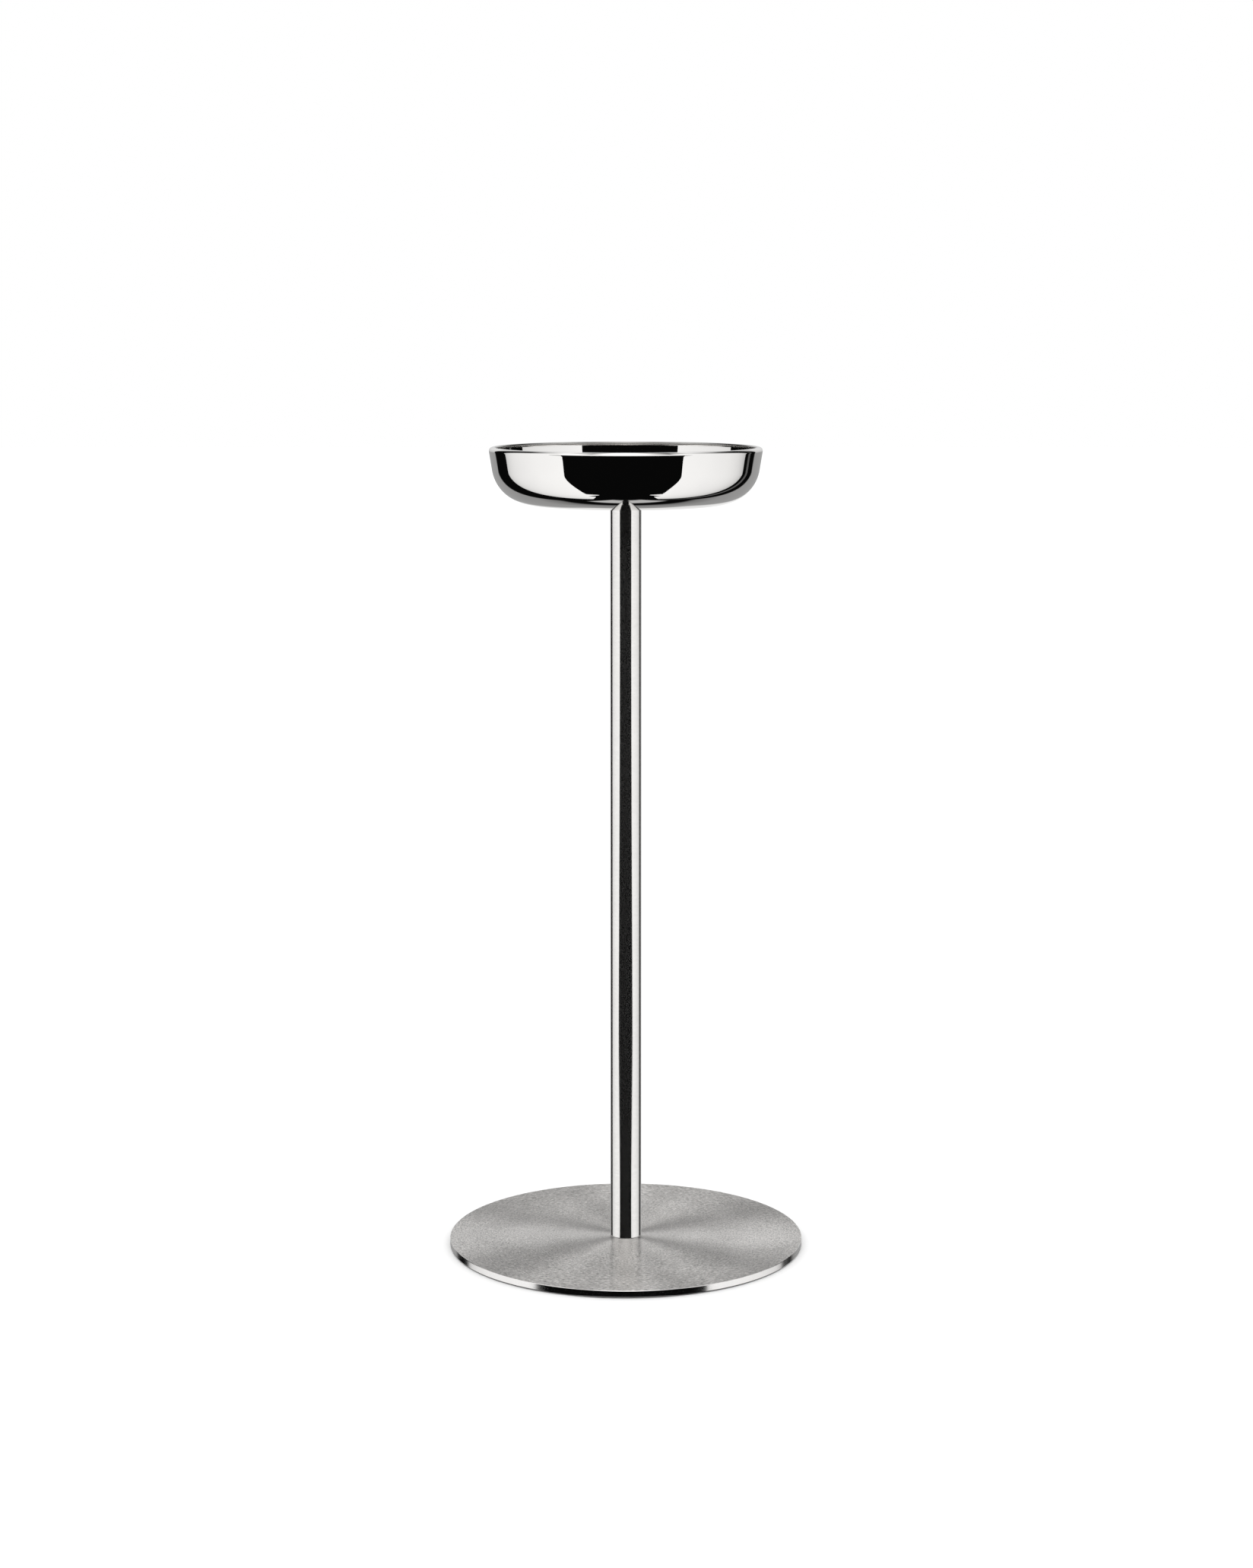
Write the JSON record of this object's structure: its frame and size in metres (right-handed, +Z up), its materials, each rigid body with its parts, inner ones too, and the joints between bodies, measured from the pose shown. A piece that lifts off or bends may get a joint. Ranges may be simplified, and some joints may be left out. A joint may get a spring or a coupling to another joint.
{
  "type": "champagne bucket stand",
  "caption": "Shallow round polished tray with a folded rim, on a straight satin tube screwed to a flat round plate, to hold a champagne bucket beside a table.",
  "frame": {"origin": "on the floor, at the centre of the underside of the non-slip pad", "axes": "+Z up along the post; the stand is round, so +X and -Y are any two sides at right angles"},
  "size_m": [0.286, 0.286, 0.648],
  "materials": {
    "mirror_steel": "stainless steel, mirror polished",
    "satin_steel": "stainless steel, satin, brushed round the tube",
    "turned_steel": "stainless steel, satin, turned in fine rings, with a polished edge",
    "machined_steel": "stainless steel, as machined",
    "black_rubber": "matt",
    "clear_nylon": "translucent white nylon"
  },
  "bodies": {
    "root": {"tray": "mirror_steel", "tray_spigot": "machined_steel", "seat_ring": "clear_nylon", "post_tube": "satin_steel", "upper_insert": "machined_steel", "lower_insert": "machined_steel", "lock_washer": "machined_steel", "base_plate": "turned_steel", "base_screw": "machined_steel", "base_pad": "black_rubber"}
  },
  "joints": []
}
